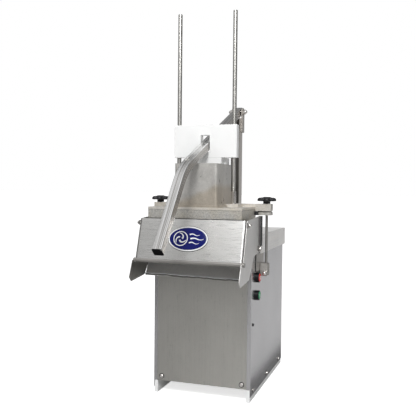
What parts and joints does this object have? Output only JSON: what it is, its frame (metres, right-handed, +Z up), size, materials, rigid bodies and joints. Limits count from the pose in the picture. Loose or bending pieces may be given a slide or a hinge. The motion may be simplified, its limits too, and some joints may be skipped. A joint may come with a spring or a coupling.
{
  "type": "food shredder",
  "caption": "Floor-standing lever-press food shredder: steel cabinet, cutter bowl with hopper, pusher on guide rods, hinged discharge guard and swing-bolt clamps.",
  "frame": {"origin": "middle of the overall footprint box, on the floor under the runners", "axes": "+Z up, -Y to the front where the lever and the discharge are, +X to the side with the buttons"},
  "size_m": [0.5082, 1.0264, 1.45],
  "materials": {
    "stainless_cabinet": "satin brushed stainless sheet",
    "stainless_sheet": "bright satin stainless sheet",
    "stainless_machined": "ground stainless plate and tube",
    "stainless_polished": "polished stainless",
    "white_plastic": "milled polyethylene",
    "black_plastic": "moulded",
    "red_plastic": "gloss",
    "green_plastic": "gloss",
    "blue_enamel": "gloss enamel with a silver rim",
    "cast_alloy": "cast and turned",
    "plain_steel": "turned",
    "rubber": "matte",
    "motor_paint": "satin"
  },
  "bodies": {
    "frame": {"side_panel_left": "stainless_cabinet", "side_panel_right": "stainless_cabinet", "front_panel": "stainless_cabinet", "rear_panel": "stainless_cabinet", "base_pan": "stainless_cabinet", "top_deck": "stainless_cabinet", "rear_lid": "stainless_cabinet", "motor_shelf": "plain_steel", "runner_left": "white_plastic", "runner_right": "white_plastic", "cabinet_screws": "stainless_polished", "hood_side_left": "stainless_sheet", "hood_side_right": "stainless_sheet", "hood_bolts": "stainless_polished", "chute_floor": "stainless_sheet", "bowl": "stainless_machined", "gasket": "rubber", "cover_plate": "stainless_machined", "clamp_frame": "stainless_machined", "hopper": "stainless_machined", "interlock_switch": "black_plastic", "guide_rod_left": "stainless_polished", "guide_rod_right": "stainless_polished", "rod_nuts": "stainless_polished", "lift_post": "stainless_machined", "post_bolts": "stainless_polished", "cheek_straps": "stainless_machined", "pivot_bolt": "stainless_polished", "clevis_left": "stainless_machined", "clevis_right": "stainless_machined", "clevis_pins": "stainless_polished", "button_bezels": "black_plastic", "control_box": "black_plastic", "motor": "motor_paint", "bearing_housing": "cast_alloy", "shaft_bearings": "stainless_polished", "drive_belt": "rubber", "cable_gland": "black_plastic"},
    "lever": {"lever_tube": "stainless_machined", "lever_plug": "black_plastic"},
    "pusher": {"crosshead": "white_plastic", "pusher_stem": "white_plastic", "pusher_foot": "white_plastic", "pusher_screws": "stainless_polished"},
    "flap": {"guard_flap": "stainless_sheet", "flap_bar": "stainless_machined", "badge": "blue_enamel"},
    "swing_left": {"swing_bolt_left": "stainless_polished"},
    "swing_right": {"swing_bolt_right": "stainless_polished"},
    "knob_left": {"star_knob_left": "black_plastic"},
    "knob_right": {"star_knob_right": "black_plastic"},
    "stop": {"stop_button": "red_plastic"},
    "start": {"start_button": "green_plastic"},
    "cutter": {"main_shaft": "plain_steel", "driven_pulley": "cast_alloy", "ejector": "cast_alloy", "shredder_disc": "stainless_sheet", "disc_screw": "stainless_polished"},
    "rotor": {"motor_shaft": "plain_steel", "motor_pulley": "cast_alloy"}
  },
  "joints": [
    {"name": "lever_pivot", "type": "hinge", "parent": "frame", "child": "lever", "pos_m": [0, 0.40425, 1.129], "axis": [-1, 0, 0], "range_deg": [0, 45]},
    {"name": "pusher_slide", "type": "slide", "parent": "frame", "child": "pusher", "axis": [0, 0, 1], "range_m": [0, 0.366]},
    {"name": "flap_hinge", "type": "hinge", "parent": "frame", "child": "flap", "pos_m": [0, -0.17975, 0.662], "axis": [-1, 0, 0], "range_deg": [0, 75]},
    {"name": "swing_left", "type": "hinge", "parent": "frame", "child": "swing_left", "pos_m": [-0.219, 0.04224, 0.472], "axis": [0, -1, 0], "range_deg": [0, 150]},
    {"name": "knob_turn_left", "type": "hinge", "parent": "swing_left", "child": "knob_left", "pos_m": [-0.219, 0.04224, 0.75], "axis": [0, 0, 1], "continuous": true},
    {"name": "swing_right", "type": "hinge", "parent": "frame", "child": "swing_right", "pos_m": [0.219, 0.04224, 0.472], "axis": [0, 1, 0], "range_deg": [0, 150]},
    {"name": "knob_turn_right", "type": "hinge", "parent": "swing_right", "child": "knob_right", "pos_m": [0.219, 0.04224, 0.75], "axis": [0, 0, 1], "continuous": true},
    {"name": "stop_press", "type": "slide", "parent": "frame", "child": "stop", "axis": [-1, 0, 0], "range_m": [0, 0.004], "stiffness_N_per_m": 500},
    {"name": "start_press", "type": "slide", "parent": "frame", "child": "start", "axis": [-1, 0, 0], "range_m": [0, 0.004], "stiffness_N_per_m": 500},
    {"name": "cutter_spin", "type": "hinge", "parent": "frame", "child": "cutter", "pos_m": [0, 0.00624, 0.65], "axis": [0, 0, 1], "continuous": true},
    {"name": "rotor_spin", "type": "hinge", "parent": "frame", "child": "rotor", "pos_m": [0, 0.32425, 0.55], "axis": [0, 0, 1], "continuous": true}
  ],
  "couplings": [
    {"joint": "pusher_slide", "follows": "lever_pivot", "m_per_rad": 0.465},
    {"joint": "rotor_spin", "follows": "cutter_spin", "ratio": 2.1429}
  ]
}
